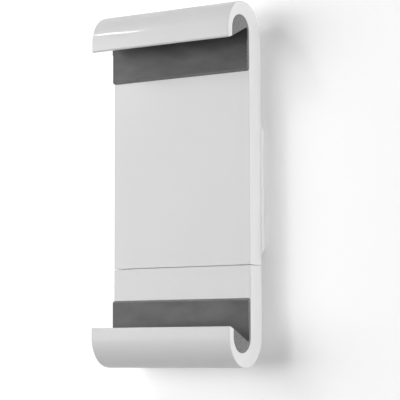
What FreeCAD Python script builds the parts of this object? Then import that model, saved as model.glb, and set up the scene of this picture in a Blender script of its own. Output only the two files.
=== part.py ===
import FreeCAD, Part
import math
import os
import re
from collections import namedtuple

import Sketcher
from FreeCAD import Vector

# Spring-loaded wall mount for a tablet. X runs across the holder, +Y into the wall and +Z up.
# The origin is the centre of the wall plate's back, which lies on the wall.
SIZES = (
    ("body_width", 70.0, "width of the holder"),
    ("body_depth", 9.2, "depth of the flat part of the holder"),
    ("upper_reach", 79.6, "origin to the top of the upper hook"),
    ("seam_drop", 31.8, "origin down to the seam when closed"),
    ("lower_length", 43.1, "seam down to the bottom of the lower hook"),
    ("seam_gap", 0.3, "gap at the closed seam"),
    ("slot_depth", 13.4, "front plate to the inside of the lip"),
    ("lip_thickness", 3.6, "thickness of the lips"),
    ("hook_end_wall", 6.2, "end of a hook to the top of its slot"),
    ("lip_reach", 17.55, "end of a hook to the tip of its lip"),
    ("lip_slant", 1.3, "how much higher the lip's inner edge is"),
    ("lip_round", 0.9, "radius on the lip's outer edge"),
    ("edge_round", 0.4, "radius along the ends of the shells"),
    ("front_skin", 1.8, "thickness of the front plate"),
    ("side_wall", 2.0, "thickness of the shells' side walls"),
    ("end_block", 15.1, "end of a hook to the end of its cavity"),
    ("cover_ledge", 1.8, "width of the ledge under the covers' ends"),
    ("cover_thickness", 1.6, "thickness of the rear covers"),
    ("cover_fit", 0.1, "gap round the rear covers"),
    ("plate_thickness", 2.5, "thickness of the wall plate"),
    ("plate_height", 54.3, "height of the wall plate"),
    ("plate_land", 0.1, "wall plate's edge left in front of its chamfer"),
    ("plate_round", 0.8, "radius on the wall plate's top edge"),
    ("wall_hole_side", 10.0, "wall plate's sides to the wall holes"),
    ("wall_hole_edge", 6.15, "wall plate's top and foot to the wall holes"),
    ("wall_hole_radius", 2.2, "radius of the wall holes"),
    ("wall_sink_radius", 3.7, "radius of the wall holes' countersinks"),
    ("hang_z", 24.0, "hanging hooks, centre to centre in height"),
    ("hang_rail_gap", 1.5, "hanging hooks to the tongue's rails"),
    ("hang_spring_gap", 1.3, "hanging hooks to the springs"),
    ("hang_neck", 3.0, "height of a hanging hook's neck"),
    ("hang_tongue", 3.5, "height of the tongue above the neck"),
    ("hang_thickness", 1.6, "thickness of the tongue"),
    ("hang_gap", 0.1, "gap between tongue and rear cover"),
    ("hang_play", 0.3, "play of the hanging hooks in their slots"),
    ("catch_width", 10.0, "width of the catch on the wall plate"),
    ("catch_height", 1.4, "height of the catch"),
    ("catch_rise", 0.7, "how far the catch stands proud"),
    ("catch_edge", 4.15, "foot of the wall plate up to the catch"),
    ("catch_play", 0.1, "play round the catch"),
    ("pad_thickness", 1.3, "thickness of the soft panels"),
    ("pad_bevel", 0.85, "bevel on the free edge of the soft panels"),
    ("pad_side_bevel", 0.35, "bevel along the sides of the soft panels"),
    ("pad_corner", 1.0, "corner radius of the soft panels"),
    ("pad_reach", 29.2, "end of a hook to the edge of its panel"),
    ("wedge_lip", 16.15, "end of a hook to the wedge at the lip"),
    ("wedge_back", 10.5, "end of a hook to the wedge at the panel"),
    ("wedge_round", 0.8, "radius where wedge and panel meet"),
    ("travel", 55.0, "travel of the lower hook"),
    ("running_gap", 0.3, "gap round the sliding tongue"),
    ("rail_inset", 5.8, "shell's side wall to the tongue's rails"),
    ("slider_thickness", 2.0, "thickness of the tongue"),
    ("foot_gap", 2.0, "foot of the tongue to the end of the cavity"),
    ("rail_width", 3.2, "width of the tongue's rails"),
    ("guide_width", 1.5, "width of the guide ribs in the shells"),
    ("toe_width", 8.0, "width of the toe that meets the stop"),
    ("toe_height", 8.0, "height of the toe"),
    ("stop_rise", 7.1, "seam up to the stop block"),
    ("stop_height", 6.0, "height of the stop block"),
    ("buffer_height", 1.5, "height of the rubber buffer on the stop"),
    ("stop_clearance", 0.2, "gap left between toe and buffer when open"),
    ("stop_side_gap", 0.6, "gap from toe to cover and from stop to tongue"),
    ("spring_x", 20.0, "springs, centre to centre"),
    ("spring_gap", 0.7, "springs to the front plate and the cover"),
    ("spring_hook", 4.4, "centre of a spring's loop to its coils"),
    ("wire_radius", 0.35, "radius of the spring wire"),
    ("loop_fit", 0.05, "gap between a loop and its post"),
    ("post_radius", 1.6, "radius of the spring posts"),
    ("post_depth", 19.6, "top of the upper hook to the upper posts"),
    ("post_cover", 3.3, "seam up to the lower posts when open"),
    ("notch_gap", 0.4, "gap beside a spring in the tongue's notch"),
    ("notch_start", 4.0, "lower posts up to the start of the notches"),
    ("washer_radius", 2.6, "radius of the washers"),
    ("washer_thickness", 0.5, "thickness of the washers"),
    ("shank_radius", 0.9, "radius of the small screws' shanks"),
    ("shank_fit", 0.05, "gap between a shank and its hole"),
    ("hole_spare", 0.3, "depth of a screw hole past the screw's end"),
    ("pan_radius", 2.0, "radius of the pan heads"),
    ("pan_gap", 0.5, "pan heads on the posts to the cover"),
    ("sink_radius", 1.9, "radius of the countersunk heads"),
    ("sink_under", 0.1, "how far the heads lie below the cover"),
    ("cross_length", 2.2, "length of the cross recess"),
    ("cross_width", 0.6, "width of the cross recess"),
    ("cross_floor", 0.5, "metal left under the cross recess"),
    ("post_screw_cover", 0.4, "end of the post screws to the tongue's front"),
    ("tongue_screw_cover", 0.9, "end of the tongue screws to the shell's front"),
    ("cover_screw_length", 5.0, "cover screws below the cover's outside"),
    ("boss_radius", 2.3, "radius of the cover screws' bosses"),
    ("boss_inset", 2.5, "side wall to the cover screws"),
    ("boss_seam", 7.0, "seam to the nearest cover screws"),
    ("boss_end", 20.1, "end of a hook to the farthest cover screws"),
    ("land_radius", 3.0, "radius of the lands under the tongue"),
    ("slider_screw_inset", 6.0, "tongue screws to the rails"),
    ("slider_screw_near", 7.0, "seam to the nearest tongue screws"),
    ("slider_screw_edge", 5.0, "foot of the tongue to the farthest screws"),
)
ALIASES = {alias for alias, size, meaning in SIZES}

# Places along Y, from the wall outwards
REAR = "(-plate_thickness)"
COVER_INSIDE = f"({REAR} - cover_thickness)"
FRONT = f"({REAR} - body_depth)"
SKIN_INSIDE = f"({FRONT} + front_skin)"
PAD_FRONT = f"({FRONT} - pad_thickness)"
LIP_INSIDE = f"({FRONT} - slot_depth)"
LIP_FRONT = f"({LIP_INSIDE} - lip_thickness)"
SLIDER_FRONT = f"({SKIN_INSIDE} + running_gap)"
SLIDER_REAR = f"({SLIDER_FRONT} + slider_thickness)"
RAIL_REAR = f"({COVER_INSIDE} - running_gap)"
SPRING_Y = f"(({SKIN_INSIDE} + {COVER_INSIDE}) / 2)"
SPRING_RADIUS = f"(({COVER_INSIDE} - {SKIN_INSIDE}) / 2 - spring_gap)"
WASHER_SEAT = f"({SPRING_Y} + 2 * wire_radius)"
HEAD_SEAT = f"({WASHER_SEAT} + washer_thickness)"
PAN_HEIGHT = f"({COVER_INSIDE} - pan_gap - {HEAD_SEAT})"
POST_SCREW_END = f"({SLIDER_FRONT} + post_screw_cover)"
TONGUE_SCREW_END = f"({FRONT} + tongue_screw_cover)"

# Places across X and up Z
HALF_WIDTH = "(body_width / 2)"
CAVITY_HALF = f"({HALF_WIDTH} - side_wall)"
LOWER_REACH = "(seam_drop + lower_length)"
UPPER_SEAM = "(seam_gap / 2 - seam_drop)"
LOWER_SEAM = "(-seam_gap / 2 - seam_drop)"
OUTER_RADIUS = "((body_depth + slot_depth + lip_thickness) / 2)"
INNER_RADIUS = "(slot_depth / 2)"
INNER_CENTRE = f"(hook_end_wall + {INNER_RADIUS})"
LEDGE_END = "(end_block - cover_ledge)"
RAIL_OUTSIDE = f"({CAVITY_HALF} - rail_inset)"
RAIL_INSIDE = f"({RAIL_OUTSIDE} - rail_width)"
BOSS_X = f"({CAVITY_HALF} - boss_inset)"
HANG_INSIDE = f"(spring_x / 2 + {SPRING_RADIUS} + hang_spring_gap)"
HANG_OUTSIDE = f"({RAIL_INSIDE} - hang_rail_gap)"
HANG_X = f"(({HANG_INSIDE} + {HANG_OUTSIDE}) / 2)"
HANG_WIDTH = f"({HANG_OUTSIDE} - {HANG_INSIDE})"
WALL_HOLE_X = f"({HALF_WIDTH} - wall_hole_side)"
WALL_HOLE_Z = "(plate_height / 2 - wall_hole_edge)"
CATCH_Z = "(catch_edge - plate_height / 2)"
UPPER_POST_Z = "(upper_reach - post_depth)"
LOWER_POST_Z = "(travel + post_cover - seam_drop)"
STOP_BOTTOM = "(stop_rise - seam_drop)"
STOP_TOP = f"({STOP_BOTTOM} + stop_height)"
BUFFER_TOP = f"({STOP_TOP} + buffer_height)"
TOE_BOTTOM = f"({BUFFER_TOP} + stop_clearance + travel)"
SLIDER_TOP = f"({TOE_BOTTOM} + toe_height)"
SLIDER_BOTTOM = f"(end_block + foot_gap - {LOWER_REACH})"
COUNTERSINK_ANGLE = 90.0

UPPER = "upper"
LOWER = "lower"
SIDES = (-1, 1)

Disc = namedtuple("Disc", "x y radius")

doc = FreeCAD.newDocument("TabletWallMount")


def make_sheet():
    sheet = doc.addObject("Spreadsheet::Sheet", "Sizes")
    for row, (alias, size, meaning) in enumerate(SIZES, start=1):
        sheet.set(f"A{row}", meaning)
        sheet.set(f"B{row}", str(size))
        sheet.setAlias(f"B{row}", alias)
    doc.recompute()
    return sheet


def bind(expression):
    """The expression with each size's alias pointing at the sheet."""
    def point(found):
        word = found.group()
        return f"Sizes.{word}" if word in ALIASES else word
    return re.sub(r"[a-z_]+", point, expression)


def measure(expression):
    return float(sheet.evalExpression(bind(expression)))


def along(side, distance):
    """Height of a point that lies this distance inside the end of its hook."""
    if side == UPPER:
        return f"(upper_reach - ({distance}))"
    return f"(({distance}) - {LOWER_REACH})"


def seam(side):
    return UPPER_SEAM if side == UPPER else LOWER_SEAM


def from_seam(side, distance):
    """Height of a point that lies this distance from the closed seam."""
    sign = 1 if side == UPPER else -1
    return f"({sign} * ({distance}) - seam_drop)"


def on_both_sides(x, *heights):
    return [(f"{sign} * {x}", height) for height in heights for sign in SIDES]


def rectangle(left, low, right, high):
    return [(left, low), (right, low), (right, high), (left, high)]


def box_at(centre_x, width, low, high):
    half = f"({width}) / 2"
    return rectangle(f"{centre_x} - {half}", low, f"{centre_x} + {half}", high)


def discs(places, radius):
    return [Disc(x, z, radius) for x, z in places]


def arc_between(start, finish, radius):
    """The shorter arc from start to finish; a negative radius turns clockwise."""
    chord = finish - start
    turn = math.copysign(1.0, radius)
    rise = math.sqrt(radius ** 2 - (chord.Length / 2) ** 2)
    left = Vector(-chord.y, chord.x, 0).normalize()
    centre = start + chord * 0.5 + left * (rise * turn)
    angles = [math.atan2(end.y - centre.y, end.x - centre.x) for end in (start, finish)]
    if turn < 0:
        angles.reverse()
    circle = Part.Circle(centre, Vector(0, 0, 1), abs(radius))
    return Part.ArcOfCircle(circle, *angles)


def constrain(sketch, kind, *where, size):
    index = sketch.addConstraint(Sketcher.Constraint(kind, *where, measure(size)))
    sketch.setExpression(f"Constraints[{index}]", bind(size))


def add_disc(sketch, disc):
    centre = Vector(measure(disc.x), measure(disc.y), 0)
    circle = Part.Circle(centre, Vector(0, 0, 1), measure(disc.radius))
    edge = sketch.addGeometry(circle)
    constrain(sketch, "DistanceX", -1, 1, edge, 3, size=disc.x)
    constrain(sketch, "DistanceY", -1, 1, edge, 3, size=disc.y)
    constrain(sketch, "Radius", edge, size=disc.radius)


def add_outline(sketch, points):
    """A closed outline. A point's third entry is the radius of the arc that leaves it."""
    corners = [Vector(measure(point[0]), measure(point[1]), 0) for point in points]
    edges = []
    for index, point in enumerate(points):
        start = corners[index]
        finish = corners[(index + 1) % len(points)]
        if len(point) == 2:
            edges.append((sketch.addGeometry(Part.LineSegment(start, finish)), 1, 2))
            continue
        radius = measure(point[2])
        edge = sketch.addGeometry(arc_between(start, finish, radius))
        edges.append((edge, 1, 2) if radius > 0 else (edge, 2, 1))
        constrain(sketch, "Radius", edge, size=f"abs({point[2]})")
    for index, (edge, start, finish) in enumerate(edges):
        following, following_start, _ = edges[(index + 1) % len(edges)]
        joint = Sketcher.Constraint("Coincident", edge, finish, following, following_start)
        sketch.addConstraint(joint)
        constrain(sketch, "DistanceX", -1, 1, edge, start, size=points[index][0])
        constrain(sketch, "DistanceY", -1, 1, edge, start, size=points[index][1])


def make_body(label, several=False):
    body = doc.addObject("PartDesign::Body", label)
    body.Label = label
    body.AllowCompound = several
    return body


def make_sketch(body, name, plane, place, loops):
    """A sketch across the given plane. Its normal is -Y on XZ, +X on YZ and +Z on XY."""
    sketch = body.newObject("Sketcher::SketchObject", name)
    role = plane + "_Plane"
    origin_planes = [face for face in body.Origin.OriginFeatures if face.Role == role]
    sketch.AttachmentSupport = [(origin_planes[0], "")]
    sketch.MapMode = "FlatFace"
    facing = -1 if plane == "XZ" else 1
    sketch.setExpression("AttachmentOffset.Base.z", bind(f"{facing} * ({place})"))
    for loop in loops:
        if isinstance(loop, Disc):
            add_disc(sketch, loop)
        else:
            add_outline(sketch, loop)
    return sketch


def extrude(body, name, plane, low, high, loops, cut=False, narrowing=0.0):
    """Add or cut the loops between two places along the plane's normal axis."""
    if plane == "XZ":
        start = low if cut else high
    else:
        start = high if cut else low
    before = body.Shape.Volume if cut else 0.0
    sketch = make_sketch(body, f"{name}_sketch", plane, start, loops)
    feature = body.newObject("PartDesign::Pocket" if cut else "PartDesign::Pad", name)
    feature.Profile = sketch
    feature.setExpression("Length", bind(f"({high}) - ({low})"))
    feature.TaperAngle = -narrowing
    doc.recompute()
    if cut and body.Shape.Volume >= before:
        raise RuntimeError(f"{name} cuts nothing")
    return feature


def drill(body, name, place, places, radius, sink_radius, reverse=False):
    """Countersunk through holes along Y, sunk at the given place."""
    sketch = make_sketch(body, f"{name}_sketch", "XZ", place, discs(places, radius))
    doc.recompute()
    hole = body.newObject("PartDesign::Hole", name)
    hole.Profile = sketch
    hole.Reversed = reverse
    hole.DepthType = "ThroughAll"
    hole.setExpression("Diameter", bind(f"2 * ({radius})"))
    hole.HoleCutType = "Countersink"
    hole.HoleCutCustomValues = True
    hole.setExpression("HoleCutDiameter", bind(f"2 * ({sink_radius})"))
    hole.HoleCutCountersinkAngle = COUNTERSINK_ANGLE
    doc.recompute()
    return hole


def edges_where(shape, wanted):
    """Names of the edges whose ends and middle all satisfy the test."""
    names = []
    for index, edge in enumerate(shape.Edges, start=1):
        middle = edge.valueAt((edge.FirstParameter + edge.LastParameter) / 2)
        points = [vertex.Point for vertex in edge.Vertexes] + [middle]
        if all(wanted(point) for point in points):
            names.append(f"Edge{index}")
    return names


def near(value, expression):
    return abs(value - measure(expression)) < 1e-6


def soften(body, name, kind, size, wanted):
    """Fillet or chamfer the edges that satisfy the test."""
    doc.recompute()
    base = body.Tip
    feature = body.newObject(f"PartDesign::{kind}", name)
    feature.Base = (base, edges_where(base.Shape, wanted))
    feature.setExpression("Radius" if kind == "Fillet" else "Size", bind(size))
    doc.recompute()
    return feature


def at_ends(point):
    return near(abs(point.x), HALF_WIDTH)


def hook_outline(side):
    """Side view of a shell: a flat body that turns round into a lip, as Y and Z."""
    turn = "" if side == UPPER else "-"
    outer = f"{turn}{OUTER_RADIUS}"
    inner = f"{turn}(-{INNER_RADIUS})"
    return [
        (REAR, seam(side)),
        (REAR, along(side, OUTER_RADIUS), outer),
        (f"{REAR} - {OUTER_RADIUS}", along(side, "0"), outer),
        (LIP_FRONT, along(side, OUTER_RADIUS)),
        (LIP_FRONT, along(side, "lip_reach")),
        (LIP_INSIDE, along(side, "lip_reach - lip_slant")),
        (LIP_INSIDE, along(side, INNER_CENTRE), inner),
        (f"{FRONT} - {INNER_RADIUS}", along(side, "hook_end_wall"), inner),
        (FRONT, along(side, INNER_CENTRE)),
        (FRONT, seam(side)),
    ]


def hook_shell(label, side):
    """A moulded shell: hook, cavity that is open behind and at the seam, ribs and bosses."""
    body = make_body(label)
    tip = along(side, "lip_reach")
    cavity_end = along(side, "end_block")
    ledge_end = along(side, LEDGE_END)
    extrude(body, f"{label}_hook", "YZ", f"-{HALF_WIDTH}", HALF_WIDTH, [hook_outline(side)])
    soften(body, f"{label}_lip", "Fillet", "lip_round",
           lambda point: near(point.y, LIP_FRONT) and near(point.z, tip))
    soften(body, f"{label}_ends", "Fillet", "edge_round",
           lambda point: at_ends(point) and not near(point.z, seam(side)))
    cavity = rectangle(f"-{CAVITY_HALF}", seam(side), CAVITY_HALF, cavity_end)
    ledge = rectangle(f"-{CAVITY_HALF}", seam(side), CAVITY_HALF, ledge_end)
    extrude(body, f"{label}_cavity", "XZ", SKIN_INSIDE, REAR, [cavity], cut=True)
    extrude(body, f"{label}_ledge", "XZ", COVER_INSIDE, REAR, [ledge], cut=True)
    guide = f"({RAIL_OUTSIDE} + running_gap + guide_width / 2)"
    ribs = [box_at(f"{sign} * {guide}", "guide_width", seam(side), cavity_end)
            for sign in SIDES]
    extrude(body, f"{label}_guides", "XZ", SKIN_INSIDE, COVER_INSIDE, ribs)
    bosses = discs(boss_places(side), "boss_radius")
    extrude(body, f"{label}_bosses", "XZ", SKIN_INSIDE, COVER_INSIDE, bosses)
    holes = discs(boss_places(side), "shank_radius + shank_fit")
    hole_end = f"{REAR} - cover_screw_length - hole_spare"
    extrude(body, f"{label}_boss_holes", "XZ", hole_end, COVER_INSIDE, holes, cut=True)
    return body


def spring_places(height):
    return on_both_sides("spring_x / 2", height)


def boss_places(side):
    """Two rows of cover screws near the ends of a cover, and a third between the upper ones."""
    low = from_seam(side, "boss_seam")
    high = along(side, "boss_end")
    middle = [f"(({low}) + ({high})) / 2"] if side == UPPER else []
    return on_both_sides(BOSS_X, low, *middle, high)


def slider_screw_places():
    return on_both_sides(f"({RAIL_INSIDE} - slider_screw_inset)",
                         from_seam(LOWER, "slider_screw_near"),
                         f"{SLIDER_BOTTOM} + slider_screw_edge")


def screw_posts(body, name, foot, height):
    """Posts for the springs' loops, each with a hole for its screw."""
    places = spring_places(height)
    extrude(body, f"{name}_posts", "XZ", foot, WASHER_SEAT, discs(places, "post_radius"))
    holes = discs(places, "shank_radius + shank_fit")
    hole_end = f"{POST_SCREW_END} - hole_spare"
    extrude(body, f"{name}_post_holes", "XZ", hole_end, WASHER_SEAT, holes, cut=True)


def make_upper_shell():
    body = hook_shell("upper_shell", UPPER)
    screw_posts(body, "upper_shell", SKIN_INSIDE, UPPER_POST_Z)
    return body


def make_lower_shell():
    body = hook_shell("lower_shell", LOWER)
    screws = slider_screw_places()
    extrude(body, "lower_lands", "XZ", SKIN_INSIDE, SLIDER_FRONT, discs(screws, "land_radius"))
    holes = discs(screws, "shank_radius + shank_fit")
    hole_end = f"{TONGUE_SCREW_END} - hole_spare"
    extrude(body, "lower_land_holes", "XZ", hole_end, SLIDER_FRONT, holes, cut=True)
    return body


def make_slider_plate():
    """The tongue: a plate with two rails, notches for the springs and a toe at its top."""
    body = make_body("slider_plate")
    plate = box_at("0", f"2 * {RAIL_OUTSIDE}", SLIDER_BOTTOM, SLIDER_TOP)
    extrude(body, "slider_sheet", "XZ", SLIDER_FRONT, SLIDER_REAR, [plate])
    rail_x = f"({RAIL_OUTSIDE} - rail_width / 2)"
    rails = [box_at(f"{sign} * {rail_x}", "rail_width", SLIDER_BOTTOM, SLIDER_TOP)
             for sign in SIDES]
    extrude(body, "slider_rails", "XZ", SLIDER_FRONT, RAIL_REAR, rails)
    toe = box_at("0", "toe_width", TOE_BOTTOM, SLIDER_TOP)
    extrude(body, "slider_toe", "XZ", SLIDER_FRONT, f"{COVER_INSIDE} - stop_side_gap", [toe])
    notch_low = f"{LOWER_POST_Z} + notch_start"
    notches = [box_at(f"{sign} * spring_x / 2", f"2 * ({SPRING_RADIUS} + notch_gap)",
                      notch_low, SLIDER_TOP) for sign in SIDES]
    extrude(body, "slider_notches", "XZ", SLIDER_FRONT, SLIDER_REAR, notches, cut=True)
    screw_posts(body, "slider", SLIDER_REAR, LOWER_POST_Z)
    holes = discs(slider_screw_places(), "shank_radius + shank_fit")
    extrude(body, "slider_holes", "XZ", SLIDER_FRONT, SLIDER_REAR, holes, cut=True)
    return body


def cover_plate(label, side):
    """A flat cover in the back of a shell, with countersunk holes over the bosses."""
    body = make_body(label)
    end = along(side, f"{LEDGE_END} + cover_fit")
    plate = box_at("0", f"2 * ({CAVITY_HALF} - cover_fit)", seam(side), end)
    extrude(body, f"{label}_plate", "XZ", COVER_INSIDE, REAR, [plate])
    drill(body, f"{label}_holes", REAR, boss_places(side), "shank_radius + shank_fit",
          "sink_radius + sink_under + shank_fit", reverse=True)
    return body


def hang_places():
    return on_both_sides(HANG_X, "-hang_z / 2", "hang_z / 2")


def make_rear_cover():
    body = cover_plate("rear_cover", UPPER)
    slots = []
    for x, z in hang_places():
        high = f"({z} + hang_neck / 2)"
        low = f"{high} - hang_neck - hang_tongue - 2 * hang_play"
        slots.append(box_at(x, f"{HANG_WIDTH} + 2 * hang_play", low, high))
    extrude(body, "hang_slots", "XZ", COVER_INSIDE, REAR, slots, cut=True)
    catch = box_at("0", "catch_width + 2 * catch_play",
                   f"{CATCH_Z} - catch_height / 2 - catch_play",
                   f"{CATCH_Z} + catch_height / 2 + catch_play")
    extrude(body, "catch_recess", "XZ", f"{REAR} - catch_rise - catch_play", REAR, [catch],
            cut=True)
    stop = box_at("0", "toe_width", STOP_BOTTOM, STOP_TOP)
    extrude(body, "stop_block", "XZ", f"{SLIDER_REAR} + stop_side_gap", COVER_INSIDE, [stop])
    return body


def make_stop_buffer():
    body = make_body("stop_buffer")
    block = box_at("0", "toe_width", STOP_TOP, BUFFER_TOP)
    extrude(body, "buffer_block", "XZ", f"{SLIDER_REAR} + stop_side_gap", COVER_INSIDE, [block])
    return body


def make_wall_plate():
    """The plate on the wall, with four hooks that point up and a catch below them."""
    body = make_body("wall_plate")
    plate = box_at("0", "body_width", "-plate_height / 2", "plate_height / 2")
    extrude(body, "wall_plate_sheet", "XZ", REAR, "0", [plate])
    soften(body, "wall_plate_foot", "Chamfer", "plate_thickness - plate_land",
           lambda point: near(point.y, "0") and near(point.z, "-plate_height / 2"))
    soften(body, "wall_plate_head", "Fillet", "plate_round",
           lambda point: near(point.y, "0") and near(point.z, "plate_height / 2"))
    tongue_rear = f"({COVER_INSIDE} - hang_gap)"
    tongue_front = f"{tongue_rear} - hang_thickness"
    necks = []
    tongues = []
    for x, z in hang_places():
        necks.append(box_at(x, HANG_WIDTH, f"{z} - hang_neck / 2", f"{z} + hang_neck / 2"))
        tongues.append(box_at(x, HANG_WIDTH, f"{z} - hang_neck / 2",
                              f"{z} + hang_neck / 2 + hang_tongue"))
    extrude(body, "hang_necks", "XZ", tongue_front, REAR, necks)
    extrude(body, "hang_tongues", "XZ", tongue_front, tongue_rear, tongues)
    catch = box_at("0", "catch_width", f"{CATCH_Z} - catch_height / 2",
                   f"{CATCH_Z} + catch_height / 2")
    extrude(body, "wall_plate_catch", "XZ", f"{REAR} - catch_rise", REAR, [catch])
    holes = on_both_sides(WALL_HOLE_X, f"-{WALL_HOLE_Z}", WALL_HOLE_Z)
    drill(body, "wall_holes", REAR, holes, "wall_hole_radius", "wall_sink_radius")
    return body


def hook_pad(label, side):
    """The soft lining of a hook: a wedge in its end and a bevelled panel on the plate."""
    body = make_body(label)
    turn = "" if side == UPPER else "-"
    inner = f"{turn}(-{INNER_RADIUS})"
    corner_z = along(side, "wedge_back")
    wedge = [
        (LIP_INSIDE, along(side, "wedge_lip")),
        (LIP_INSIDE, along(side, INNER_CENTRE), inner),
        (f"{FRONT} - {INNER_RADIUS}", along(side, "hook_end_wall"), inner),
        (FRONT, along(side, INNER_CENTRE)),
        (FRONT, along(side, "wedge_lip")),
        (PAD_FRONT, along(side, "wedge_lip")),
        (PAD_FRONT, corner_z),
    ]
    extrude(body, f"{label}_wedge", "YZ", f"-{HALF_WIDTH}", HALF_WIDTH, [wedge])
    soften(body, f"{label}_corner", "Fillet", "wedge_round",
           lambda point: near(point.y, PAD_FRONT) and near(point.z, corner_z))
    start = along(side, INNER_CENTRE)
    edge = along(side, "pad_reach")
    corner_start = along(side, "pad_reach - pad_corner")
    arc = f"{turn}pad_corner"
    panel = [
        (HALF_WIDTH, start),
        (f"-{HALF_WIDTH}", start),
        (f"-{HALF_WIDTH}", corner_start, arc),
        (f"-{HALF_WIDTH} + pad_corner", edge),
        (f"{HALF_WIDTH} - pad_corner", edge, arc),
        (HALF_WIDTH, corner_start),
    ]
    bevel_start = f"{PAD_FRONT} + pad_side_bevel"
    extrude(body, f"{label}_base", "XZ", bevel_start, FRONT, [panel])
    extrude(body, f"{label}_sides", "XZ", PAD_FRONT, bevel_start, [panel],
            narrowing=COUNTERSINK_ANGLE / 2)
    free_edge = [
        (PAD_FRONT, along(side, "pad_reach - pad_bevel")),
        (f"{PAD_FRONT} + pad_bevel", edge),
        (f"{PAD_FRONT} - pad_bevel", along(side, "pad_reach + pad_bevel")),
    ]
    extrude(body, f"{label}_bevel", "YZ", f"-{HALF_WIDTH}", HALF_WIDTH, [free_edge], cut=True)
    return body


def make_spring(label, sign):
    """An extension spring: closed coils between two loops that go round their posts."""
    body = make_body(label)
    x = f"{sign} * spring_x / 2"
    loop_radius = "(post_radius + loop_fit)"
    extrude(body, f"{label}_coils", "XY", f"{LOWER_POST_Z} + spring_hook",
            f"{UPPER_POST_Z} - spring_hook", [Disc(x, SPRING_Y, SPRING_RADIUS)])
    for name, height, up in (("lower", LOWER_POST_Z, 1), ("upper", UPPER_POST_Z, -1)):
        inside = f"{height} + {up} * ({loop_radius} + wire_radius)"
        outside = f"{height} + {up} * spring_hook"
        low, high = (inside, outside) if up > 0 else (outside, inside)
        front = f"{SPRING_Y} - wire_radius"
        rear = f"{SPRING_Y} + wire_radius"
        stem = box_at(x, "2 * wire_radius", low, high)
        extrude(body, f"{label}_{name}_stem", "XZ", front, rear, [stem])
        ring = [Disc(x, height, f"{loop_radius} + 2 * wire_radius"), Disc(x, height, loop_radius)]
        extrude(body, f"{label}_{name}_loop", "XZ", front, rear, ring)
    return body


def cut_crosses(body, label, places, floor, face):
    """Cross recesses in screw heads, cut along -Y from the given face to their floor."""
    across = [box_at(x, "cross_length", f"{z} - cross_width / 2", f"{z} + cross_width / 2")
              for x, z in places]
    upright = [box_at(x, "cross_width", f"{z} - cross_length / 2", f"{z} + cross_length / 2")
               for x, z in places]
    extrude(body, f"{label}_cross_across", "XZ", floor, face, across, cut=True)
    extrude(body, f"{label}_cross_upright", "XZ", floor, face, upright, cut=True)


def pan_screws(label, places, seat, screw_end):
    body = make_body(label, several=True)
    face = f"({seat} + {PAN_HEIGHT})"
    extrude(body, f"{label}_heads", "XZ", seat, face, discs(places, "pan_radius"))
    extrude(body, f"{label}_shanks", "XZ", screw_end, seat, discs(places, "shank_radius"))
    cut_crosses(body, label, places, f"{seat} + cross_floor", face)
    return body


def sunk_screws(label, places):
    """Countersunk screws whose heads lie just below the outside of a cover."""
    body = make_body(label, several=True)
    face = f"({REAR} - sink_under)"
    neck = f"{face} - (sink_radius - shank_radius)"
    extrude(body, f"{label}_heads", "XZ", neck, face, discs(places, "sink_radius"),
            narrowing=COUNTERSINK_ANGLE / 2)
    extrude(body, f"{label}_shanks", "XZ", f"{REAR} - cover_screw_length", neck,
            discs(places, "shank_radius"))
    cut_crosses(body, label, places, f"{neck} + cross_floor", face)
    return body


def washers(label, places):
    body = make_body(label, several=True)
    rings = discs(places, "washer_radius") + discs(places, "shank_radius + shank_fit")
    extrude(body, f"{label}_rings", "XZ", WASHER_SEAT, HEAD_SEAT, rings)
    return body


def make_parts():
    upper_posts = spring_places(UPPER_POST_Z)
    lower_posts = spring_places(LOWER_POST_Z)
    return [
        make_wall_plate(),
        make_upper_shell(),
        make_rear_cover(),
        make_stop_buffer(),
        hook_pad("upper_pad", UPPER),
        make_spring("spring_left", -1),
        make_spring("spring_right", 1),
        washers("upper_spring_washers", upper_posts),
        pan_screws("upper_spring_screws", upper_posts, HEAD_SEAT, POST_SCREW_END),
        sunk_screws("rear_cover_screws", boss_places(UPPER)),
        make_lower_shell(),
        make_slider_plate(),
        cover_plate("lower_rear_cover", LOWER),
        hook_pad("lower_pad", LOWER),
        washers("lower_spring_washers", lower_posts),
        pan_screws("lower_spring_screws", lower_posts, HEAD_SEAT, POST_SCREW_END),
        pan_screws("slider_screws", slider_screw_places(), SLIDER_REAR, TONGUE_SCREW_END),
        sunk_screws("lower_cover_screws", boss_places(LOWER)),
    ]


def check(parts):
    for item in doc.Objects:
        if "Invalid" in item.State or "Error" in item.State:
            raise RuntimeError(f"{item.Name} failed: {item.State}")
    for body in parts:
        if body.Shape.isNull() or not body.Shape.isValid():
            raise RuntimeError(f"{body.Label} has no valid shape")


def write(parts):
    os.makedirs("parts", exist_ok=True)
    for body in parts:
        body.Shape.exportStep(f"parts/{body.Label}.step")
        print(f"{body.Label}: {len(body.Shape.Solids)} solids, {body.Shape.Volume:.1f} mm3")


sheet = make_sheet()
parts = make_parts()
doc.recompute()
check(parts)
write(parts)
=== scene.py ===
import math

import bmesh
import bpy
from mathutils import Matrix, Vector


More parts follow.
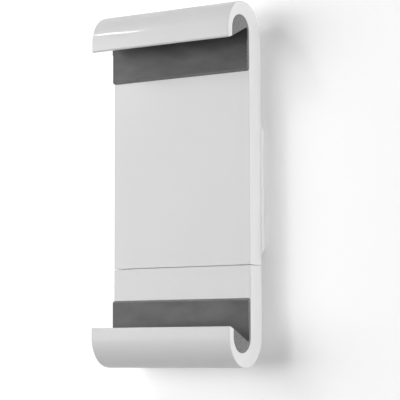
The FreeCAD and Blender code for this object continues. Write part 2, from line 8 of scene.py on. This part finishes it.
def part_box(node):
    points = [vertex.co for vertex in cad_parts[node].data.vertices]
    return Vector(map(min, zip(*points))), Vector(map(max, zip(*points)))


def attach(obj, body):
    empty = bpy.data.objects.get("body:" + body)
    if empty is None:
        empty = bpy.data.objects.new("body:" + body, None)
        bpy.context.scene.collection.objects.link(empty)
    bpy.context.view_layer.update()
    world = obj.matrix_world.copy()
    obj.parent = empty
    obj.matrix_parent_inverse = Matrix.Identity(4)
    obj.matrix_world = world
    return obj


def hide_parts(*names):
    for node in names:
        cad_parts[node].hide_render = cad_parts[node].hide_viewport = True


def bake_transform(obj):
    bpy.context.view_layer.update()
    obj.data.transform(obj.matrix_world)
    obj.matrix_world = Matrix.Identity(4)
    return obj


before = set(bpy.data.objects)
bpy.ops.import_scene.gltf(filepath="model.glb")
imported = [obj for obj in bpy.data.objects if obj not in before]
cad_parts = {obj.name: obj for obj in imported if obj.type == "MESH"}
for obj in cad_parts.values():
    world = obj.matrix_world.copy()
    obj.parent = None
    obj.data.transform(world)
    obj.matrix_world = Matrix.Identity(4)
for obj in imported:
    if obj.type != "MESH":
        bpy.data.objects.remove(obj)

MM = 0.001

# The camera that took the photograph, in millimetres and degrees in the row's frame
CAMERA_PLACE = (398.29, -622.28, -69.23)
CAMERA_YAW = 32.448
CAMERA_PITCH = 5.205
CAMERA_ROLL = -0.178
FOCAL_PIXELS = 1696.5
FRAME_PIXELS = 400.0
SENSOR_WIDTH = 36.0
NEAREST_SEEN = 50.0
FARTHEST_SEEN = 20000.0

# Stage, in metres: a wall a little behind the holder and a floor well below it
WALL_SIZE = 3.0
WALL_GAP = 0.2 * MM
FLOOR_SIZE = 8.0
FLOOR_DROP = 1.0

# Lamps: degrees to the right of the wall's normal, degrees up, width and height in metres, watts
LAMP_DISTANCE = 1.8
LAMPS = {
    "key": (-50.0, 25.0, 1.0, 1.0, 8.6),
    "low_key": (-42.0, 2.5, 2.0, 0.9, 24.5),
    "fill": (10.0, -5.0, 0.7, 0.7, 1.6),
    "side": (88.0, -2.0, 0.35, 0.7, 21.0),
    "back": (180.0, 35.0, 0.7, 0.7, 14.0),
}
# Narrow lamp, from one end to the other, whose reflection is the bright line on the upper lip
STRIP_FROM = (-1.32, -1.3, 1.335)
STRIP_TO = (-1.17, -1.3, 1.185)
STRIP_HEIGHT = 0.055
STRIP_POWER = 4.8

# Own tone of the surroundings, and the glow that only the camera and reflections see
WORLD_LEVEL = 0.03
WALL_LEVEL = 0.96
WALL_GLOW = 0.22
FLOOR_LEVEL = 0.15
FLOOR_GLOW = 0.55
FLOOR_ROUGHNESS = 0.8

# Soft linings: rounding of their edges, where a paler rubber is painted on as a highlight, and
# streaks along X
PAD_EDGE = 0.22 * MM
PAD_EDGE_STEPS = 3
PAD_FLAT_ANGLE = math.radians(1.0)
PAD_SHARP_ANGLE = math.radians(24.0)
PAD_END_FACING = 0.6
PAD_EDGE_ZONE = 0.9 * MM
PAD_WELD = 0.001 * MM
# Material slot of the paler rubber, a painted highlight on the pads' ends and edges
PAINTED_HIGHLIGHT_SLOT = 1
RUB_STRETCH = (0.5, 1.0, 1.3)

# Materials: the usual middle range of a noise value, and how much the roughness varies
NOISE_LOW = 0.3
NOISE_HIGH = 0.7
ROUGHNESS_SWING = 0.08

# White plastic: noise scales in turns per metre, its slow change of tone, and its clear coat
DRIFT_SCALE = 35.0
GLOSS_SCALE = 160.0
GRAIN_SCALE = 3000.0
DRIFT_DARK = 0.985
DRIFT_BLUE = 1.004
PLASTIC_IOR = 1.49
PLASTIC_SPECULAR = 0.2
COAT_IOR = 1.4
COAT_ROUGHNESS = 0.065

# Rubber: noise scales in turns per metre, and its dusty sheen
RUB_DETAIL = 5.0
DULLNESS_SCALE = 900.0
PEBBLE_SCALE = 2600.0
RUBBER_IOR = 1.5
RUBBER_SPECULAR = 0.3
SHEEN_WEIGHT = 0.3
SHEEN_ROUGHNESS = 0.3

# Steel: scale and depth of its marks, the tone in them, and how far they change the roughness
MARK_SCALE = 1800.0
MARK_DEPTH = 0.01 * MM
MARK_TONE = (0.86, 0.87, 0.9)
STEEL_BLUE = 1.02
MARK_SMOOTH = 0.8
MARK_ROUGH = 1.25

# Sockets of the Mix node for colours
MIX_FIRST = 6
MIX_SECOND = 7
MIX_RESULT = 2

# Springs: wire, coil and end loops
WIRE_RADIUS = 0.35 * MM
WIRE_SIDES = 10
LOOP_RADIUS = 2.0 * MM
LOOP_TURN = 0.93
STEPS_PER_TURN = 24
SPRING_TURNS = 33
SPRING_HOOK = 4.4 * MM
EASE_PASSES = 2


def make_camera():
    yaw = math.radians(CAMERA_YAW)
    pitch = math.radians(CAMERA_PITCH)
    roll = math.radians(CAMERA_ROLL)
    forward = Vector((
        -math.sin(yaw) * math.cos(pitch),
        math.cos(yaw) * math.cos(pitch),
        math.sin(pitch),
    ))
    right = Vector((math.cos(yaw), math.sin(yaw), 0.0))
    up = right.cross(forward)
    rolled_right = right * math.cos(roll) + up * math.sin(roll)
    rolled_up = up * math.cos(roll) - right * math.sin(roll)
    data = bpy.data.cameras.new("camera")
    data.sensor_width = SENSOR_WIDTH
    data.lens = FOCAL_PIXELS * SENSOR_WIDTH / FRAME_PIXELS
    data.clip_start = NEAREST_SEEN * MM
    data.clip_end = FARTHEST_SEEN * MM
    camera = bpy.data.objects.new("camera", data)
    turn = Matrix((rolled_right, rolled_up, -forward)).transposed().to_4x4()
    camera.matrix_world = Matrix.Translation(Vector(CAMERA_PLACE) * MM) @ turn
    bpy.context.scene.collection.objects.link(camera)
    bpy.context.scene.camera = camera


def new_material(name):
    material = bpy.data.materials.new(name)
    material.use_nodes = True
    nodes = material.node_tree.nodes
    return material, nodes, material.node_tree.links, nodes["Principled BSDF"]


def grey(level):
    return (level, level, level, 1.0)


def noise(nodes, links, scale, detail=2.0, roughness=0.5, stretch=(1.0, 1.0, 1.0)):
    """A noise texture in the object's own coordinates, in turns per metre."""
    place = nodes.new("ShaderNodeTexCoord")
    mapping = nodes.new("ShaderNodeMapping")
    mapping.inputs["Scale"].default_value = stretch
    texture = nodes.new("ShaderNodeTexNoise")
    texture.inputs["Scale"].default_value = scale
    texture.inputs["Detail"].default_value = detail
    texture.inputs["Roughness"].default_value = roughness
    links.new(place.outputs["Object"], mapping.inputs["Vector"])
    links.new(mapping.outputs["Vector"], texture.inputs["Vector"])
    return texture.outputs["Fac"]


def spread(nodes, links, value, low, high):
    """Maps a noise value from its usual middle range to low and high."""
    ramp = nodes.new("ShaderNodeMapRange")
    ramp.inputs["From Min"].default_value = NOISE_LOW
    ramp.inputs["From Max"].default_value = NOISE_HIGH
    ramp.inputs["To Min"].default_value = low
    ramp.inputs["To Max"].default_value = high
    links.new(value, ramp.inputs["Value"])
    return ramp.outputs["Result"]


def tint(nodes, links, value, dark, light):
    """A colour between two, chosen by the value."""
    mix = nodes.new("ShaderNodeMix")
    mix.data_type = "RGBA"
    mix.inputs[MIX_FIRST].default_value = dark
    mix.inputs[MIX_SECOND].default_value = light
    links.new(value, mix.inputs["Factor"])
    return mix.outputs[MIX_RESULT]


def bump(nodes, links, value, distance):
    node = nodes.new("ShaderNodeBump")
    node.inputs["Strength"].default_value = 1.0
    node.inputs["Distance"].default_value = distance
    links.new(value, node.inputs["Height"])
    return node.outputs["Normal"]


def white_plastic(name, level, roughness, grain, coat):
    """Moulded white plastic: a slow colour drift, a fine grain and slightly uneven gloss."""
    material, nodes, links, shader = new_material(name)
    drift = spread(nodes, links, noise(nodes, links, DRIFT_SCALE), 0.0, 1.0)
    colour = tint(nodes, links, drift, grey(level * DRIFT_DARK),
                  (level, level, level * DRIFT_BLUE, 1.0))
    links.new(colour, shader.inputs["Base Color"])
    gloss = noise(nodes, links, GLOSS_SCALE, detail=4.0)
    sharper = roughness * (1 - ROUGHNESS_SWING)
    duller = roughness * (1 + ROUGHNESS_SWING)
    links.new(spread(nodes, links, gloss, sharper, duller), shader.inputs["Roughness"])
    fine = noise(nodes, links, GRAIN_SCALE)
    links.new(bump(nodes, links, fine, grain), shader.inputs["Normal"])
    shader.inputs["IOR"].default_value = PLASTIC_IOR
    shader.inputs["Specular IOR Level"].default_value = PLASTIC_SPECULAR
    shader.inputs["Coat Weight"].default_value = coat
    shader.inputs["Coat Roughness"].default_value = COAT_ROUGHNESS
    shader.inputs["Coat IOR"].default_value = COAT_IOR
    return material


def soft_rubber(name, dark, light, cloud_scale, roughness, grain):
    """Dense soft elastomer with a fine pebbled grain, rubbed cloudy, and a dusty sheen."""
    material, nodes, links, shader = new_material(name)
    clouds = noise(nodes, links, cloud_scale, detail=RUB_DETAIL, stretch=RUB_STRETCH)
    cloud = spread(nodes, links, clouds, 0.0, 1.0)
    colour = tint(nodes, links, cloud, grey(dark), grey(light))
    links.new(colour, shader.inputs["Base Color"])
    dullness = noise(nodes, links, DULLNESS_SCALE)
    sharper = roughness * (1 - ROUGHNESS_SWING)
    links.new(spread(nodes, links, dullness, sharper, roughness), shader.inputs["Roughness"])
    fine = noise(nodes, links, PEBBLE_SCALE, detail=3.0, roughness=0.6)
    links.new(bump(nodes, links, fine, grain), shader.inputs["Normal"])
    shader.inputs["IOR"].default_value = RUBBER_IOR
    shader.inputs["Specular IOR Level"].default_value = RUBBER_SPECULAR
    shader.inputs["Sheen Weight"].default_value = SHEEN_WEIGHT
    shader.inputs["Sheen Roughness"].default_value = SHEEN_ROUGHNESS
    return material


def bright_steel(name, level, roughness, stretch):
    """Steel with fine drawing or turning marks."""
    material, nodes, links, shader = new_material(name)
    marks = noise(nodes, links, MARK_SCALE, detail=3.0, stretch=stretch)
    colour = tint(nodes, links, spread(nodes, links, marks, 0.0, 1.0),
                  (*(level * tone for tone in MARK_TONE), 1.0),
                  (level, level, level * STEEL_BLUE, 1.0))
    links.new(colour, shader.inputs["Base Color"])
    links.new(spread(nodes, links, marks, roughness * MARK_SMOOTH, roughness * MARK_ROUGH),
              shader.inputs["Roughness"])
    links.new(bump(nodes, links, marks, MARK_DEPTH), shader.inputs["Normal"])
    shader.inputs["Metallic"].default_value = 1.0
    return material


def dress(node, material):
    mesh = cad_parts[node].data
    mesh.materials.clear()
    mesh.materials.append(material)


def dress_nodes():
    gloss = white_plastic("gloss_white", level=0.755, roughness=0.5, grain=0.004 * MM, coat=0.26)
    satin = white_plastic("satin_white", level=0.755, roughness=0.5, grain=0.012 * MM, coat=0.0)
    slick = white_plastic("slick_white", level=0.72, roughness=0.32, grain=0.008 * MM, coat=0.1)
    rubber = soft_rubber("soft_pad", dark=0.07, light=0.115, cloud_scale=130.0,
                         roughness=0.6, grain=0.04 * MM)
    # Paler rubber for the pads' ends, free edge and rounded edges: a painted highlight, with a
    # coarser grain
    painted_highlight_rubber = soft_rubber("soft_pad_painted_highlight", dark=0.14, light=0.24, cloud_scale=1500.0,
                             roughness=0.7, grain=0.08 * MM)
    black = soft_rubber("buffer_rubber", dark=0.012, light=0.02, cloud_scale=220.0,
                        roughness=0.6, grain=0.02 * MM)
    steel = bright_steel("screw_steel", level=0.55, roughness=0.3, stretch=(1.0, 1.0, 1.0))
    for node in ("upper_shell", "lower_shell"):
        dress(node, gloss)
    for node in ("wall_plate", "rear_cover", "lower_rear_cover"):
        dress(node, satin)
    dress("slider_plate", slick)
    for node in ("upper_pad", "lower_pad"):
        dress(node, rubber)
        make_pad(node, rubber, painted_highlight_rubber)
    dress("stop_buffer", black)
    wire = bright_steel("spring_steel", level=0.6, roughness=0.24, stretch=(1.0, 1.0, 6.0))
    for node in ("spring_left", "spring_right"):
        dress(node, wire)
        make_spring(node, wire)
    for node in ("rear_cover_screws", "lower_cover_screws", "slider_screws",
                 "upper_spring_screws", "upper_spring_washers",
                 "lower_spring_screws", "lower_spring_washers"):
        dress(node, steel)


def finished(piece, slot, *nodes):
    """Hides the CAD nodes that a new piece stands for."""
    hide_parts(*nodes)


def make_pad(node, skin, highlight_skin):
    """The lining of one hook: the CAD form with softly rounded edges and grainy cut ends, with a
    paler rubber painted on the ends, the free edge and the rounded edges as a highlight.
    """
    form = bmesh.new()
    form.from_mesh(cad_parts[node].data)
    bmesh.ops.remove_doubles(form, verts=form.verts, dist=PAD_WELD)
    bmesh.ops.dissolve_limit(form, angle_limit=PAD_FLAT_ANGLE, verts=form.verts, edges=form.edges)
    low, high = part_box(node)
    free_edge = low.z if node == "upper_pad" else high.z
    # The ends and the band along the free edge get the paler rubber, a painted highlight
    for face in form.faces:
        on_end = abs(face.normal.x) > PAD_END_FACING
        on_edge = abs(face.calc_center_median().z - free_edge) < PAD_EDGE_ZONE
        if on_end or on_edge:
            face.material_index = PAINTED_HIGHLIGHT_SLOT
    mesh = bpy.data.meshes.new(f"{node}_lining")
    form.to_mesh(mesh)
    form.free()
    mesh.materials.append(skin)
    mesh.materials.append(highlight_skin)
    mesh.shade_smooth()
    pad = bpy.data.objects.new(f"{node}_lining", mesh)
    bpy.context.scene.collection.objects.link(pad)
    edges = pad.modifiers.new("edges", "BEVEL")
    edges.width = PAD_EDGE
    edges.segments = PAD_EDGE_STEPS
    edges.limit_method = "ANGLE"
    edges.angle_limit = PAD_SHARP_ANGLE
    edges.harden_normals = True
    # The rounded edges get the paler rubber too, a painted highlight
    edges.material = PAINTED_HIGHLIGHT_SLOT
    finished(pad, "soft_pad", node)
    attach(pad, "holder" if node == "upper_pad" else "lower_hook")


def tube(name, points, radius, sides):
    """A closed round wire along points, its rings turned as little as possible."""
    form = bmesh.new()
    rings = []
    normal = None
    for index, point in enumerate(points):
        ahead = points[min(index + 1, len(points) - 1)] - points[max(index - 1, 0)]
        ahead.normalize()
        if normal is None:
            normal = ahead.orthogonal().normalized()
        normal = (normal - ahead * normal.dot(ahead)).normalized()
        side = ahead.cross(normal)
        ring = []
        for step in range(sides):
            angle = 2 * math.pi * step / sides
            offset = normal * math.cos(angle) + side * math.sin(angle)
            ring.append(form.verts.new(point + offset * radius))
        rings.append(ring)
    for first, second in zip(rings, rings[1:]):
        for step in range(sides):
            after = (step + 1) % sides
            form.faces.new((first[step], first[after], second[after], second[step]))
    form.faces.new(tuple(reversed(rings[0])))
    form.faces.new(tuple(rings[-1]))
    bmesh.ops.recalc_face_normals(form, faces=form.faces)
    mesh = bpy.data.meshes.new(name)
    form.to_mesh(mesh)
    form.free()
    mesh.shade_smooth()
    wire = bpy.data.objects.new(name, mesh)
    bpy.context.scene.collection.objects.link(wire)
    return wire


def smooth_line(points):
    """Points with the sharp corners between loop and coil eased."""
    eased = list(points)
    for _ in range(EASE_PASSES):
        inner = [(before + point * 2 + after) / 4
                 for before, point, after in zip(eased, eased[1:], eased[2:])]
        eased = [eased[0], *inner, eased[-1]]
    return eased


def loop_points(centre, up):
    """The end loop round a post, from its open end to the side nearest the coil."""
    points = []
    steps = int(STEPS_PER_TURN * LOOP_TURN)
    for step in range(steps + 1):
        angle = 2 * math.pi * LOOP_TURN * (1 - step / steps) + math.pi / 2
        points.append(centre + Vector((
            LOOP_RADIUS * math.cos(angle), 0.0, up * LOOP_RADIUS * math.sin(angle))))
    return points


def make_spring(node, material):
    """Extension spring: close coils between two loops that go round their posts."""
    low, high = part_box(node)
    middle = (low + high) / 2
    lower_post = Vector((middle.x, middle.y, low.z + LOOP_RADIUS + WIRE_RADIUS))
    upper_post = Vector((middle.x, middle.y, high.z - LOOP_RADIUS - WIRE_RADIUS))
    coil_radius = high.y - middle.y - WIRE_RADIUS
    coil_low = lower_post.z + SPRING_HOOK
    coil_high = upper_post.z - SPRING_HOOK
    points = loop_points(lower_post, 1)
    steps = SPRING_TURNS * STEPS_PER_TURN
    for step in range(steps + 1):
        share = step / steps
        angle = 2 * math.pi * SPRING_TURNS * share
        points.append(Vector((
            middle.x + coil_radius * math.cos(angle),
            middle.y + coil_radius * math.sin(angle),
            coil_low + WIRE_RADIUS + (coil_high - coil_low - 2 * WIRE_RADIUS) * share,
        )))
    points += reversed(loop_points(upper_post, -1))
    spring = tube(f"{node}_wire", smooth_line(points), WIRE_RADIUS, WIRE_SIDES)
    spring.data.materials.append(material)
    finished(spring, "spring_steel", node)
    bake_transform(spring)


def stage_plane(name, size, place, rotation):
    half = size / 2
    mesh = bpy.data.meshes.new(name)
    corners = [(-half, -half, 0), (half, -half, 0), (half, half, 0), (-half, half, 0)]
    mesh.from_pydata(corners, [], [(0, 1, 2, 3)])
    plane = bpy.data.objects.new(name, mesh)
    plane.location = place
    plane.rotation_euler = rotation
    bpy.context.scene.collection.objects.link(plane)
    return plane


def seen_rays(nodes, links):
    """1 for rays from the camera, a reflection or glass, 0 for rays that light a surface."""
    path = nodes.new("ShaderNodeLightPath")
    total = path.outputs["Is Camera Ray"]
    for kind in ("Is Glossy Ray", "Is Transmission Ray"):
        either = nodes.new("ShaderNodeMath")
        either.operation = "MAXIMUM"
        links.new(total, either.inputs[0])
        links.new(path.outputs[kind], either.inputs[1])
        total = either.outputs["Value"]
    return total


def glow(nodes, links, level):
    """White light of the given level that only the camera and reflections see."""
    strength = nodes.new("ShaderNodeMath")
    strength.operation = "MULTIPLY"
    strength.inputs[1].default_value = level
    links.new(seen_rays(nodes, links), strength.inputs[0])
    emission = nodes.new("ShaderNodeEmission")
    links.new(strength.outputs["Value"], emission.inputs["Strength"])
    return emission.outputs["Emission"]


def wall_material():
    """White wall that keeps the holder's shadow; seen from behind it is clear."""
    material = bpy.data.materials.new("wall")
    material.use_nodes = True
    nodes = material.node_tree.nodes
    links = material.node_tree.links
    nodes.clear()
    output = nodes.new("ShaderNodeOutputMaterial")
    diffuse = nodes.new("ShaderNodeBsdfDiffuse")
    diffuse.inputs["Color"].default_value = grey(WALL_LEVEL)
    lit = nodes.new("ShaderNodeAddShader")
    links.new(diffuse.outputs["BSDF"], lit.inputs[0])
    links.new(glow(nodes, links, WALL_GLOW), lit.inputs[1])
    clear = nodes.new("ShaderNodeBsdfTransparent")
    facing = nodes.new("ShaderNodeNewGeometry")
    mix = nodes.new("ShaderNodeMixShader")
    links.new(facing.outputs["Backfacing"], mix.inputs["Fac"])
    links.new(lit.outputs["Shader"], mix.inputs[1])
    links.new(clear.outputs["BSDF"], mix.inputs[2])
    links.new(mix.outputs["Shader"], output.inputs["Surface"])
    return material


def floor_material():
    """Pale floor that throws only a little light back at the holder."""
    material, nodes, links, shader = new_material("floor")
    shader.inputs["Base Color"].default_value = grey(FLOOR_LEVEL)
    shader.inputs["Roughness"].default_value = FLOOR_ROUGHNESS
    lit = nodes.new("ShaderNodeAddShader")
    links.new(shader.outputs["BSDF"], lit.inputs[0])
    links.new(glow(nodes, links, FLOOR_GLOW), lit.inputs[1])
    links.new(lit.outputs["Shader"], nodes["Material Output"].inputs["Surface"])
    return material


def make_stage():
    wall = stage_plane("wall", WALL_SIZE, (0, WALL_GAP, 0), (math.radians(90), 0, 0))
    wall.data.materials.append(wall_material())
    wall.visible_shadow = False
    floor = stage_plane("floor", FLOOR_SIZE, (0, 0, -FLOOR_DROP), (0, 0, 0))
    floor.data.materials.append(floor_material())


def from_front(azimuth, elevation):
    """Unit vector to the right of and above the wall's normal, in degrees."""
    turn = math.radians(azimuth)
    rise = math.radians(elevation)
    return Vector((
        math.sin(turn) * math.cos(rise),
        -math.cos(turn) * math.cos(rise),
        math.sin(rise),
    ))


def area_lamp(name, place, along, width, height, power):
    """A rectangular lamp that faces the object, its width in the direction along."""
    data = bpy.data.lights.new(name, "AREA")
    data.shape = "RECTANGLE"
    data.size = width
    data.size_y = height
    data.energy = power
    back = place.normalized()
    across = back.cross(along).normalized()
    turn = Matrix((across.cross(back), across, back)).transposed().to_4x4()
    lamp = bpy.data.objects.new(name, data)
    lamp.matrix_world = Matrix.Translation(place) @ turn
    bpy.context.scene.collection.objects.link(lamp)


def make_lamps():
    for name, (azimuth, elevation, width, height, power) in LAMPS.items():
        place = LAMP_DISTANCE * from_front(azimuth, elevation)
        level = Vector((0.0, 0.0, 1.0)).cross(place)
        area_lamp(name, place, level, width, height, power)
    first, last = Vector(STRIP_FROM), Vector(STRIP_TO)
    strip = last - first
    area_lamp("strip", (first + last) / 2, strip, strip.length, STRIP_HEIGHT, STRIP_POWER)


def make_world():
    world = bpy.data.worlds.new("studio")
    bpy.context.scene.world = world
    world.use_nodes = True
    nodes = world.node_tree.nodes
    links = world.node_tree.links
    nodes.clear()
    output = nodes.new("ShaderNodeOutputWorld")
    soft = nodes.new("ShaderNodeBackground")
    soft.inputs["Color"].default_value = grey(1.0)
    soft.inputs["Strength"].default_value = WORLD_LEVEL
    white = nodes.new("ShaderNodeBackground")
    white.inputs["Color"].default_value = grey(1.0)
    white.inputs["Strength"].default_value = 1.0
    mix = nodes.new("ShaderNodeMixShader")
    links.new(seen_rays(nodes, links), mix.inputs["Fac"])
    links.new(soft.outputs["Background"], mix.inputs[1])
    links.new(white.outputs["Background"], mix.inputs[2])
    links.new(mix.outputs["Shader"], output.inputs["Surface"])


def main():
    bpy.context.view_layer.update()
    make_camera()
    make_stage()
    make_lamps()
    make_world()
    dress_nodes()
    bpy.context.scene.view_settings.view_transform = "Standard"


main()
